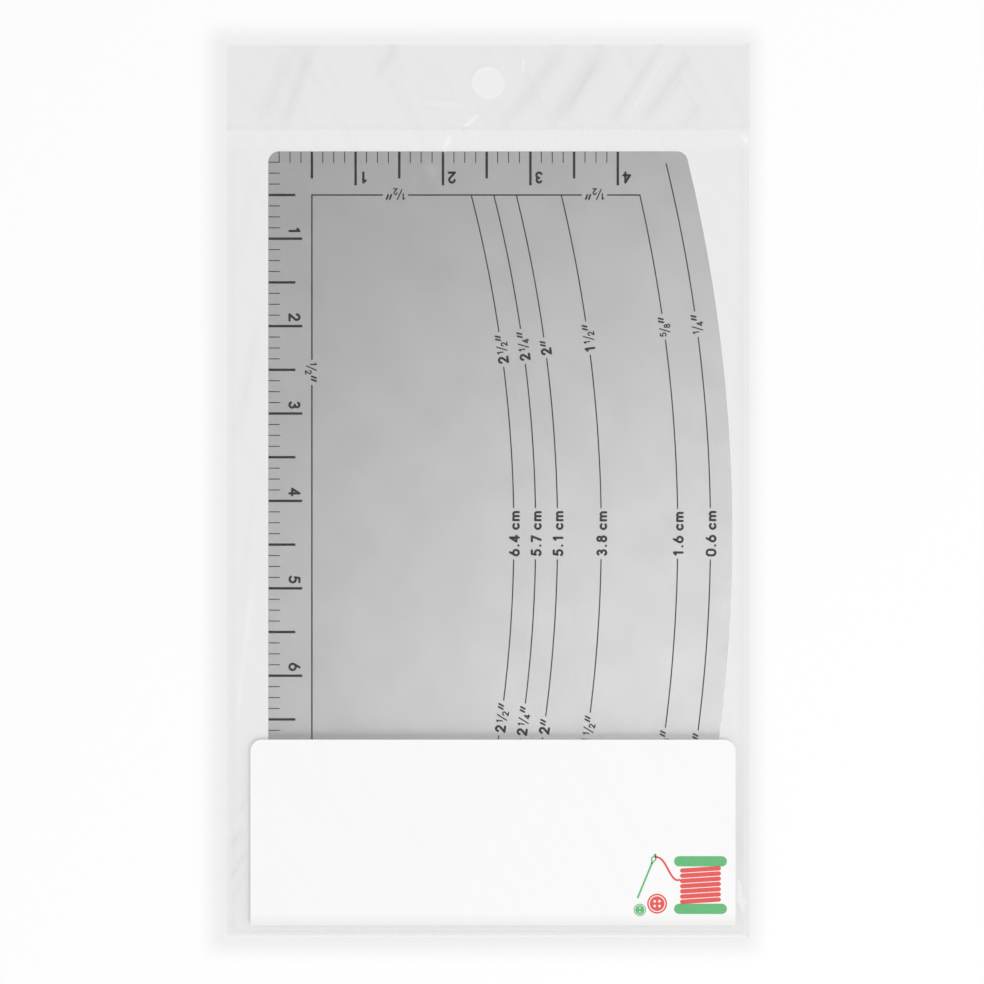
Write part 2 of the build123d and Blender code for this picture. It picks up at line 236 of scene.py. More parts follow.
class MaskGroup(Wiring):
    """A shader group that puts out one mask from 0 to 1."""

    def __init__(self, effect: Effect, **inputs: float) -> None:
        """Makes the group with its sockets.

        Args:
            effect: The effect that the group is named for.
            inputs: Its inputs with their first values, with _ for a space in the name.
        """
        super().__init__(bpy.data.node_groups.new(effect.value, "ShaderNodeTree"))
        add_socket = self.tree.interface.new_socket
        for name, value in inputs.items():
            socket = add_socket(name.replace("_", " "), in_out="INPUT", socket_type="NodeSocketFloat")
            socket.default_value = value
        add_socket("Mask", in_out="OUTPUT", socket_type="NodeSocketFloat")
        self.given = self.add("NodeGroupInput").outputs
        self.place = self.add("ShaderNodeTexCoord").outputs

    def finish(self, mask: object) -> bpy.types.NodeTree:
        """Puts the mask out and returns the group."""
        self.add("NodeGroupOutput", Mask=mask)
        return self.tree

    def finish_between(self, value: object) -> bpy.types.NodeTree:
        """Puts out a value moved from the range between Low and High, and returns the group."""
        return self.finish(self.remap(value, (self.given["Low"], self.given["High"])))


def soft_cloud() -> bpy.types.NodeTree:
    """Makes blotches of a given size.

    Returns:
        The group.
    """
    group = MaskGroup(Effect.CLOUD, Scale=100.0, Detail=3.0, Low=0.35, High=0.65)
    scale, detail = group.given["Scale"], group.given["Detail"]
    noise = group.add("ShaderNodeTexNoise", Vector=group.place["Object"], Scale=scale, Detail=detail)
    return group.finish_between(noise.outputs["Fac"])


def long_grain() -> bpy.types.NodeTree:
    """Makes streaks along a direction in the sheet.

    Returns:
        The group.
    """
    group = MaskGroup(Effect.GRAIN, Turn=0.0, Across=1000.0, Along=50.0, Low=0.3, High=0.7)
    place, turn = group.place["Object"], group.given["Turn"]
    turned = group.add("ShaderNodeVectorRotate", {"rotation_type": "Z_AXIS"}, Vector=place, Angle=turn)
    parts = group.add("ShaderNodeSeparateXYZ", Vector=turned.outputs[0]).outputs
    stretched = group.add(
        "ShaderNodeCombineXYZ",
        X=group.calculate("MULTIPLY", parts["X"], group.given["Across"]),
        Y=group.calculate("MULTIPLY", parts["Y"], group.given["Along"]),
    )
    noise = group.add("ShaderNodeTexNoise", Vector=stretched.outputs[0], Scale=1.0, Detail=2.0)
    return group.finish_between(noise.outputs["Fac"])


def cut_edge() -> bpy.types.NodeTree:
    """Finds the upright faces of a flat sheet, where it was cut.

    Returns:
        The group.
    """
    group = MaskGroup(Effect.CUT_EDGE, Low=0.15, High=0.6)
    up = group.add("ShaderNodeSeparateXYZ", Vector=group.place["Normal"]).outputs["Z"]
    return group.finish_between(group.calculate("SUBTRACT", 1.0, group.calculate("ABSOLUTE", up)))


def soft_patch() -> bpy.types.NodeTree:
    """Makes a soft-edged rectangle in the sheet.

    Returns:
        The group.
    """
    group = MaskGroup(
        Effect.PATCH, Middle_X=0.0, Middle_Y=0.0, Half_width=0.01, Half_height=0.01, Softness=0.002
    )
    given = group.given
    place = group.add("ShaderNodeSeparateXYZ", Vector=group.place["Object"]).outputs
    inside = []
    for axis, middle, half in (("X", "Middle X", "Half width"), ("Y", "Middle Y", "Half height")):
        away = group.calculate("ABSOLUTE", group.calculate("SUBTRACT", place[axis], given[middle]))
        room = group.calculate("DIVIDE", group.calculate("SUBTRACT", given[half], away), given["Softness"])
        soft = group.remap(room, (-1.0, 1.0))
        soft.node.interpolation_type = "SMOOTHSTEP"
        inside.append(soft)
    return group.finish(group.calculate("MULTIPLY", *inside))


GROUP_MAKERS: dict[Effect, Callable[[], bpy.types.NodeTree]] = {
    Effect.CLOUD: soft_cloud,
    Effect.GRAIN: long_grain,
    Effect.CUT_EDGE: cut_edge,
    Effect.PATCH: soft_patch,
}


def shared_group(effect: Effect) -> bpy.types.NodeTree:
    """Returns the group of an effect, built the first time that it is asked for."""
    return bpy.data.node_groups.get(effect.value) or GROUP_MAKERS[effect]()


# Finishes


class Shading(Wiring):
    """Wiring of a new material with one Principled shader."""

    def __init__(self, name: str, **constants: object) -> None:
        """Makes the material.

        Args:
            name: The material's name.
            constants: Plain values for the shader's own sockets, with _ for a space in the name.
        """
        self.material = bpy.data.materials.new(name)
        self.material.use_nodes = True
        super().__init__(self.material.node_tree)
        self.shader = self.tree.nodes["Principled BSDF"]
        self.feed(self.shader, **constants)

    def finish(self, **inputs: object) -> bpy.types.Material:
        """Feeds the shader what changes over the surface, and returns the material."""
        self.feed(self.shader, **inputs)
        return self.material


@dataclass(frozen=True)
class SatinAluminium:
    """Rolled aluminium sheet with a satin surface, darker on its cut edges, with painted shade close
    beside the card.
    """

    name: str = "satin_aluminium"
    dull: Colour = (0.266, 0.266, 0.268)
    bright: Colour = (0.304, 0.304, 0.306)
    cut: Colour = (0.2, 0.2, 0.202)
    shade: Colour = (0.192, 0.192, 0.194)
    roughness: Point = (0.27, 0.35)
    cloud_share: float = 0.55
    fine_share: float = 0.25
    grain_share: float = 0.2
    shade_reach: float = 12.0
    shade_power: float = 105.0
    shade_samples: int = 64

    def build(self) -> bpy.types.Material:
        """Wires the finish.

        Returns:
            Its material.
        """
        metal = Shading(self.name, Metallic=1.0)
        cloud = metal.effect(Effect.CLOUD, Scale=70.0, Detail=4.0, Low=0.3, High=0.7)
        fine = metal.effect(Effect.CLOUD, Scale=900.0, Detail=3.0, Low=0.3, High=0.7)
        grain = metal.effect(Effect.GRAIN, Turn=0.04, Across=9000.0, Along=160.0)
        tone = metal.weigh(
            0.0, (cloud, self.cloud_share), (fine, self.fine_share), (grain, self.grain_share)
        )
        sheet = metal.blend(tone, self.dull, self.bright)
        # Painted shade: the card's ambient occlusion darkens the plate's colour beside it.
        reach = self.shade_reach * MM
        sky = metal.add("ShaderNodeAmbientOcclusion", {"samples": self.shade_samples}, Distance=reach)
        clear = metal.calculate("POWER", sky.outputs["AO"], self.shade_power)
        edge = metal.effect(Effect.CUT_EDGE, Low=0.06, High=0.5)
        rough = metal.remap(metal.calculate("SUBTRACT", grain, edge), (-1.0, 1.0), self.roughness)
        return metal.finish(
            Base_Color=metal.blend(edge, metal.blend(clear, self.shade, sheet), self.cut),
            Roughness=rough,
            Normal=metal.bump(grain, distance=0.004, strength=0.3),
        )


@dataclass(frozen=True)
class PlateInk:
    """Screen-printed ink, a little uneven where the screen laid it thin."""

    name: str = "plate_ink"
    solid: Colour = (0.012, 0.012, 0.013)
    thin: Colour = (0.035, 0.035, 0.036)
    roughness: Point = (0.5, 0.65)

    def build(self) -> bpy.types.Material:
        """Wires the finish.

        Returns:
            Its material.
        """
        ink = Shading(self.name, Specular_IOR_Level=0.3)
        cloud = ink.effect(Effect.CLOUD, Scale=1500.0, Detail=4.0, Low=0.45, High=0.8)
        return ink.finish(
            Base_Color=ink.blend(cloud, self.solid, self.thin),
            Roughness=ink.remap(cloud, (0.0, 1.0), self.roughness),
            Normal=ink.bump(cloud, distance=0.01, strength=0.4),
        )


@dataclass(frozen=True)
class CoatedCard:
    """White coated card with a faint fibre, a coating that cracks along its fold and painted shade beside
    the fold.
    """

    fold_y: float
    band_half_width: float
    name: str = "coated_card"
    face: Colour = (0.945, 0.945, 0.943)
    fibre: Colour = (0.93, 0.93, 0.927)
    crack: Colour = (0.84, 0.84, 0.83)
    fold_shade: Colour = (0.86, 0.86, 0.855)
    crack_half_height: float = 0.5
    crack_softness: float = 0.4
    bend_shade_half_height: float = 2.2

    def build(self) -> bpy.types.Material:
        """Wires the finish.

        Returns:
            Its material.
        """
        card = Shading(self.name, Roughness=0.5, Specular_IOR_Level=0.35)
        cloud = card.effect(Effect.CLOUD, Scale=450.0, Detail=5.0, Low=0.35, High=0.75)
        fibre = card.effect(Effect.GRAIN, Turn=0.6, Across=2600.0, Along=700.0)
        cracks = card.effect(Effect.GRAIN, Turn=0.02, Across=500.0, Along=9000.0, Low=0.58, High=0.66)
        fold = (0.0, self.fold_y)
        foot = card.patch(fold, (self.band_half_width, self.crack_half_height), self.crack_softness)
        # Painted shade in a soft band along the fold.
        bend_shade = card.patch(fold, (self.band_half_width, self.bend_shade_half_height), self.bend_shade_half_height)
        face = card.blend(card.calculate("MULTIPLY", cloud, fibre), self.face, self.fibre)
        shaded = card.blend(bend_shade, face, self.fold_shade)
        return card.finish(
            Base_Color=card.blend(card.calculate("MULTIPLY", cracks, foot), shaded, self.crack),
            Normal=card.bump(fibre, distance=0.01, strength=0.25),
        )


@dataclass(frozen=True)
class CardInk:
    """Litho ink on the card, with a faint screen in its tone."""

    name: str
    full: Colour
    light: Colour

    def build(self) -> bpy.types.Material:
        """Wires the finish.

        Returns:
            Its material.
        """
        ink = Shading(self.name, Roughness=0.45)
        screen = ink.effect(Effect.CLOUD, Scale=2600.0, Detail=1.0, Low=0.4, High=0.75)
        return ink.finish(Base_Color=ink.blend(screen, self.full, self.light))


@dataclass(frozen=True)
class ClearFilm:
    """Clear polypropylene film with a faint haze, denser where it is welded, with painted shade along its
    creases and painted highlights.
    """

    name: str
    haze: float
    tint: Colour = (0.3, 0.303, 0.308)
    # gleam is the colour of the painted highlights; the creases' haze in the dark tint is painted shade.
    gleam: Colour = (0.97, 0.97, 0.97)
    roughness: Point = (0.14, 0.26)
    crease_shade_haze: float = 0.024
    gleam_haze: float = 0.1
    full_gleam: float = 0.3
    streak_haze: float = 0.006
    streak_across: float = 260.0
    streak_along: float = 30.0
    streak_turn: float = -0.5
    mirror_share: float = 0.5
    mirror_power: float = 4.0

    def build(self) -> bpy.types.Material:
        """Wires the finish.

        Returns:
            Its material.
        """
        film = Shading(self.name, IOR=1.49)
        crease_shade, gleam = film.attribute(Mark.CREASE_SHADE), film.attribute(Mark.GLEAM)
        streak = film.effect(
            Effect.GRAIN,
            Turn=self.streak_turn,
            Across=self.streak_across,
            Along=self.streak_along,
            Low=0.48,
            High=0.7,
        )
        facing = film.add("ShaderNodeLayerWeight", Blend=0.5).outputs["Facing"]
        mirror = film.calculate("POWER", facing, self.mirror_power)
        # Creases add haze in the dark tint, a painted shade; gleams turn the colour white, a painted
        # highlight.
        lit = film.remap(film.calculate("SUBTRACT", gleam, crease_shade), (0.0, self.full_gleam))
        return film.finish(
            Alpha=film.weigh(
                self.haze,
                (crease_shade, self.crease_shade_haze),
                (gleam, self.gleam_haze),
                (streak, self.streak_haze),
                (mirror, self.mirror_share),
            ),
            Base_Color=film.blend(lit, self.tint, self.gleam),
            Roughness=film.remap(streak, (0.0, 1.0), self.roughness),
            Normal=film.bump(streak, distance=0.05, strength=0.5),
        )


@dataclass(frozen=True)
class StudioPaper:
    """White table paper, a little greyer round and under the light pouch, where its shadow is painted."""

    name: str = "studio_paper"
    white: Colour = (0.985, 0.985, 0.985)
    shade: Colour = (0.86, 0.86, 0.86)
    shade_middle: Point = (-1.1, -0.3)
    shade_half: Point = (79.7, 134.0)
    shade_softness: float = 4.3

    def build(self) -> bpy.types.Material:
        """Wires the finish.

        Returns:
            Its material.
        """
        paper = Shading(self.name, Roughness=0.9, Specular_IOR_Level=0.0)
        # Painted shadow of the pouch: a soft greyer rectangle round it.
        pouch = paper.patch(self.shade_middle, self.shade_half, self.shade_softness)
        return paper.finish(Base_Color=paper.blend(pouch, self.white, self.shade))


# Meshes


@dataclass(frozen=True)
class Box:
    """Edges of a node in millimetres."""

    left: float
    foot: float
    bottom: float
    right: float
    head: float
    top: float

    @classmethod
    def of(cls, node: str) -> "Box":
        """Reads a node's edges from the frame."""
        low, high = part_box(node)
        return cls(*(place / MM for place in (*low, *high)))


def steps(start: float, end: float, pitch: float) -> np.ndarray:
    """Evenly spaced places from start to end, about a pitch apart."""
    return np.linspace(start, end, max(2, round(abs(end - start) / pitch) + 1))


def ease(share: np.ndarray) -> np.ndarray:
    """Turns a share from 0 to 1 into one that starts and ends level."""
    held = np.clip(share, 0, 1)
    return held * held * (3 - 2 * held)


def bell(away: np.ndarray, width: float) -> np.ndarray:
    """Returns 1 where away is 0, and falls off over a width."""
    return np.exp(-((away / width) ** 2))


@dataclass(frozen=True)
class Hole:
    """A round hole in a flat grid."""

    middle: Point
    radius: float
    rings: int = 5
    collar: float = 1.65

    @classmethod
    def hang_hole(cls, record: dict) -> "Hole":
        """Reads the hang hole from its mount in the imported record."""
        mount = next(m for m in record["mounts"] if m["name"] == "hang_hole")
        return cls((mount["pos_m"][0] / MM, mount["pos_m"][1] / MM), mount["dims"]["r_mm"])


class Grid:
    """A flat grid of quads over rows and columns, with an optional round hole woven into it."""

    def __init__(self, across: np.ndarray, up: np.ndarray, hole: Optional[Hole] = None) -> None:
        """Lays the grid out.

        Args:
            across: X of the corners, as rows of columns or anything that spreads to them.
            up: Y of the corners, in the same way.
            hole: The hole to weave in.
        """
        across, up = np.broadcast_arrays(across, up)
        self.corners = np.stack([across.ravel(), up.ravel()], axis=1)
        number = np.arange(across.size).reshape(across.shape)
        quads = np.stack([number[:-1, :-1], number[:-1, 1:], number[1:, 1:], number[1:, :-1]], axis=-1)
        self.faces: Faces = quads.reshape(-1, 4).tolist()
        if hole:
            self.weave(hole, number, quads)

    def weave(self, hole: Hole, number: np.ndarray, quads: np.ndarray) -> None:
        """Opens a hole in a block of cells, which rings of quads then fill as far as its circle.

        Args:
            hole: The hole.
            number: Numbers of the corners, in rows and columns.
            quads: Corner numbers of the cells, in rows and columns.
        """
        away = np.abs(self.corners - hole.middle).reshape(*number.shape, 2)
        reach = hole.radius * hole.collar
        middle_row = int(np.argmin(away[:, 0, 1]))
        rows = np.flatnonzero(away[:, 0, 1] <= reach)
        columns = np.flatnonzero(away[middle_row, :, 0] <= reach)
        foot, head, left, right = rows[0], rows[-1], columns[0], columns[-1]
        kept = np.ones(quads.shape[:2], bool)
        kept[foot:head, left:right] = False
        loop = np.concatenate(
            [
                number[foot, left:right],
                number[foot:head, right],
                number[head, left + 1 : right + 1][::-1],
                number[foot + 1 : head + 1, left][::-1],
            ]
        )
        outward = self.corners[loop] - hole.middle
        distance = np.linalg.norm(outward, axis=1, keepdims=True)
        faces = [quads[kept]]
        for ring in range(1, hole.rings + 1):
            ring_reach = distance + (hole.radius - distance) * (ring / hole.rings)
            inner = len(self.corners) + np.arange(len(loop))
            self.corners = np.vstack([self.corners, hole.middle + outward / distance * ring_reach])
            faces.append(np.stack([loop, np.roll(loop, -1), np.roll(inner, -1), inner], axis=1))
            loop = inner
        used, renamed = np.unique(np.concatenate(faces), return_inverse=True)
        self.corners = self.corners[used]
        self.faces = renamed.reshape(-1, 4).tolist()


def new_piece(name: str, points: np.ndarray, faces: Faces) -> bpy.types.Object:
    """Makes a smooth-shaded mesh object.

    Args:
        name: The piece's name.
        points: Its corners, three numbers each.
        faces: Corner numbers of its faces, counted anticlockwise as seen from outside.

    Returns:
        The object.
    """
    mesh = bpy.data.meshes.new(name)
    mesh.from_pydata((np.asarray(points, float) * MM).tolist(), [], faces)
    mesh.validate()
    mesh.shade_smooth()
    piece = bpy.data.objects.new(name, mesh)
    bpy.context.scene.collection.objects.link(piece)
    return piece


def new_sheet(name: str, grid: Grid, height: object, turned: bool = False) -> bpy.types.Object:
    """Makes a piece from a grid.

    Args:
        name: The piece's name.
        grid: Its outline.
        height: Z of its corners, as one number or as an array.
        turned: Whether the grid's own faces would look inwards.

    Returns:
        The object.
    """
    level = np.broadcast_to(height, len(grid.corners))
    faces = [face[::-1] for face in grid.faces] if turned else grid.faces
    return new_piece(name, np.column_stack([grid.corners, level]), faces)


def mark_film(piece: bpy.types.Object, crease_shade: object, gleam: object) -> None:
    """Writes a film's painted shade along creases and painted highlights on its corners.

    Args:
        piece: The film.
        crease_shade: How much painted shade it gets along its creases at each corner, from 0 to 1.
        gleam: How much painted highlight it gets at each corner, from 0 to 1.
    """
    for mark, values in ((Mark.CREASE_SHADE, crease_shade), (Mark.GLEAM, gleam)):
        attribute = piece.data.attributes.new(mark.value, "FLOAT", "POINT")
        spread = np.broadcast_to(values, len(piece.data.vertices))
        attribute.data.foreach_set("value", np.ascontiguousarray(spread, np.float32))


def thicken(piece: bpy.types.Object, thickness: float, offset: float = 1.0) -> None:
    """Gives a sheet its thickness, with a crisp rim in its second material.

    Args:
        piece: The sheet.
        thickness: Its thickness.
        offset: 1 to grow outwards, -1 to grow inwards.
    """
    solidify = piece.modifiers.new("thickness", "SOLIDIFY")
    solidify.thickness = thickness * MM
    solidify.offset = offset
    solidify.material_offset_rim = 1
    crisp = piece.modifiers.new("crisp_rim", "EDGE_SPLIT")
    crisp.split_angle = RIM_ANGLE


def cast_no_shadow(piece: bpy.types.Object) -> None:
    """Keeps a piece out of the lamp's and the sky's way, so that what lies under it is fully lit."""
    piece.visible_shadow = False
    piece.visible_diffuse = False


def dress(piece: bpy.types.Object, *materials: bpy.types.Material) -> None:
    """Gives a piece its materials in order.

    Args:
        piece: The piece.
        materials: The material of its faces, and that of its rim where it is thickened.
    """
    piece.data.materials.clear()
    for material in materials:
        piece.data.materials.append(material)


# Film folds


@dataclass(frozen=True)
class Fold:
    """A soft ridge in a film between two places, wider or narrower and more or less marked with painted
    shade and a painted highlight.
    """

    start: Point
    end: Point
    width: float
    height: float = 0.3
    crease_shade: float = 1.0
    gleam: float = 0.0
    taper: float = 0.25

    def profile(self, across: np.ndarray, up: np.ndarray) -> np.ndarray:
        """Finds how much of the fold stands at each place.

        Args:
            across: X of the places.
            up: Y of the places.

        Returns:
            Shares from 0 to 1.
        """
        start, end = np.array(self.start), np.array(self.end)
        run = end - start
        length = float(np.hypot(*run))
        along = ((across - start[0]) * run[0] + (up - start[1]) * run[1]) / length**2
        aside = ((across - start[0]) * run[1] - (up - start[1]) * run[0]) / length
        return bell(aside, self.width) * (ease(along / self.taper) * ease((1 - along) / self.taper))


HEADER_FOLDS = (
    Fold((-50.6, 130), (-59.5, 104), 1.5, 0.35, 1.0),
    Fold((-55.5, 130), (-66, 106), 2.0, 0.3, 0.6),
    Fold((-25.8, 130), (-32.5, 119), 1.4, 0.2, 0.7),
    Fold((23.5, 130), (4, 104), 2.2, 0.35, 0.8),
    Fold((35.5, 130), (17.5, 104), 2.4, 0.4, 1.0),
    Fold((31.5, 124), (22.5, 109), 0.6, 0.1, 0.0, 0.25),
    Fold((51.5, 131), (34.5, 104), 1.1, 0.3, 0.9),
    Fold((54.5, 131), (38.5, 104), 0.6, 0.15, 0.0, 0.28),
    Fold((60, 128), (43.5, 104), 1.5, 0.35, 1.0),
    Fold((57.5, 121), (49, 107), 0.6, 0.15, 0.0, 0.22),
    Fold((62.5, 113), (56.5, 104), 1.6, 0.2, 0.6),
    Fold((10.2, 126.5), (10.4, 120.5), 0.35, 0.1, 0.0, 0.4),
    Fold((5.4, 122.0), (9.0, 119.4), 0.5, 0.1, 0.0, 0.25),
    Fold((-20.5, 112.5), (-4, 111.4), 1.0, 0.1, 0.0, 0.25),
    Fold((-2.5, 109.2), (-7.5, 104.5), 0.6, 0.1, 0.0, 0.7),
    # Lines of no height are only painted: shade along the band's foot and the right edge, a highlight
    # along the top and left edges.
    Fold((-76.4, 104.8), (76.4, 104.8), 0.35, 0.0, 0.5, 0.0, 0.01),
    Fold((-76.4, 129.7), (76.4, 129.7), 0.45, 0.0, 0.0, 0.7, 0.01),
    Fold((-75.9, 131), (-75.9, 99), 0.45, 0.0, 0.0, 0.6, 0.05),
    Fold((75.9, 131), (75.9, 99), 0.35, 0.0, 0.5, 0.0, 0.05),
)
SLEEVE_FOLDS = (
    Fold((-10.6, 103.6), (-13.2, 97.4), 0.5, 0.1, 0.0, 1.0),
    Fold((73.5, 103.4), (76.2, 101.0), 0.6, 0.1, 0.0, 1.0),
    Fold((-68, 92), (-74, 60), 1.4, 0.2, 0.5),
    Fold((-66, 52), (-73, 12), 1.6, 0.2, 0.35, 0.2),
    Fold((-66.5, 6), (-73, -40), 1.3, 0.2, 0.45),
    Fold((-67.5, -20), (-73.5, -74), 0.9, 0.15, 0.0, 0.35),
    Fold((73.6, 60), (71.4, 12), 1.0, 0.15, 0.3),
    Fold((-18.5, 95.5), (-14.5, 90.5), 1.6, 0.1, 0.0, 0.3),
    Fold((-22.5, 92), (-20.5, 87.5), 1.0, 0.1, 0.0, 0.22),
)
FOOT_FOLDS = (
    Fold((-68.8, -93.5), (-74.8, -104), 0.8, 0.2, 0.2, 0.4),
    Fold((-68.6, -102), (-75, -113), 0.7, 0.2, 0.2, 0.45),
    Fold((-69.6, -98), (-75.2, -108), 1.1, 0.25, 0.8),
    Fold((-68.8, -109), (-75.2, -121), 1.3, 0.25, 0.8),
    Fold((-69, -116), (-75, -127.5), 0.8, 0.2, 0.2, 0.4),
    Fold((72.6, -112), (74.6, -124), 0.7, 0.2, 0.1, 0.8),
    Fold((71.5, -117.5), (75.5, -121), 0.6, 0.2, 0.0, 0.7),
    Fold((72.5, -94), (73.6, -109), 0.8, 0.2, 0.7),
    Fold((-68.4, -88), (-74.2, -96), 0.7, 0.2, 0.7),
    Fold((-69.4, -104.5), (-75.4, -115.5), 0.6, 0.15, 0.7),
    # Lines of no height are only painted: a highlight along the bottom edge and shade along the weld's
    # inner edge.
    Fold((-76.4, -130.0), (76.4, -130.0), 0.4, 0.0, 0.0, 1.0, 0.01),
    Fold((-76.4, -128.3), (76.4, -128.3), 0.9, 0.0, 0.15, 0.0, 0.01),
)


@dataclass
class FrontSurface:
    """Underside of the pouch's front film: level over the card and the gauge, loose at the margins.

    Each ripple is its depth, its length across and its length up.
    """

    hole: Hole
    folds: tuple[Fold, ...] = HEADER_FOLDS + SLEEVE_FOLDS + FOOT_FOLDS
    ripples: tuple[tuple[float, float, float], ...] = ((0.05, 9.0, 23.0), (0.04, 17.0, -13.0))
    header_sag: float = 0.9
    header_level_run: float = 6.0
    margin_sag: float = 0.35
    margin_run: float = 3.0
    card_clearance: float = 0.4
    mouth_run: float = 3.0
    # The hang hole's rim gets painted shade on its upper left and a painted highlight on its lower right.
    rim_width: float = 0.5
    rim_shade: float = 0.9
    rim_gleam: float = 0.6

    def __post_init__(self) -> None:
        """Reads the levels and edges from the frame."""
        film, card = Box.of("front_film"), Box.of("card_front_panel")
        self.level, self.head_y = film.bottom, film.head
        self.mouth_y = Box.of("back_film").head
        self.loose_left_x = card.left - self.card_clearance
        self.loose_right_x = card.right + self.card_clearance

    def height(self, across: np.ndarray, up: np.ndarray) -> np.ndarray:
        """Finds the film's height, never below what slides under it.

        Args:
            across: X of the places.
            up: Y of the places.

        Returns:
            Z of the film's underside at each place.
        """
        ripple = sum(depth * (1 + np.sin(across / wide + up / long)) for depth, wide, long in self.ripples)
        waves = sum(fold.height * fold.profile(across, up) for fold in self.folds)
        start_y = self.mouth_y + self.header_level_run
        over_header = ease((up - start_y) / (self.head_y - start_y))
        aside = np.maximum(self.loose_left_x - across, across - self.loose_right_x)
        in_sleeve = ease((self.mouth_y - up) / self.mouth_run)
        sag = self.header_sag * over_header + self.margin_sag * ease(aside / self.margin_run) * in_sleeve
        return self.level + ripple + waves - sag

    def hole_rim(self, across: np.ndarray, up: np.ndarray, side: int) -> np.ndarray:
        """Finds half of the hang hole's rim, where it gets painted shade or a painted highlight.

        Args:
            across: X of the places.
            up: Y of the places.
            side: 1 for its upper left, -1 for its lower right.

        Returns:
            How much of the rim is at each place, from 0 to 1.
        """
        x, y = across - self.hole.middle[0], up - self.hole.middle[1]
        away = np.hypot(x, y)
        lean = side * (y - x) / np.maximum(away, LEAST_LENGTH) / math.sqrt(2)
        return bell(away - self.hole.radius, self.rim_width) * np.clip(lean, 0, 1)

    def crease_shade(self, across: np.ndarray, up: np.ndarray) -> np.ndarray:
        """Returns how much painted shade the film gets along its creases and the hole's rim, from 0 to 1.
        """
        folds = sum(fold.crease_shade * fold.profile(across, up) for fold in self.folds)
        return np.clip(folds + self.rim_shade * self.hole_rim(across, up, 1), 0, 1)

    def gleam(self, across: np.ndarray, up: np.ndarray) -> np.ndarray:
        """Returns how much painted highlight the film gets at each place, from 0 to 1."""
        folds = sum(fold.gleam * fold.profile(across, up) for fold in self.folds)
        return np.clip(folds + self.rim_gleam * self.hole_rim(across, up, -1), 0, 1)

    def lay(self, name: str, grid: Grid, lift: float) -> bpy.types.Object:
        """Lays a flat grid on the surface.

        Args:
            name: The piece's name.
            grid: The sheet's outline.
            lift: Height over the front film's underside.

        Returns:
            The sheet, with its painted shade and painted highlights marked.
        """
        across, up = grid.corners.T
        piece = new_sheet(name, grid, self.height(across, up) + lift)
        mark_film(piece, self.crease_shade(across, up), self.gleam(across, up))
        return piece


# Pouch


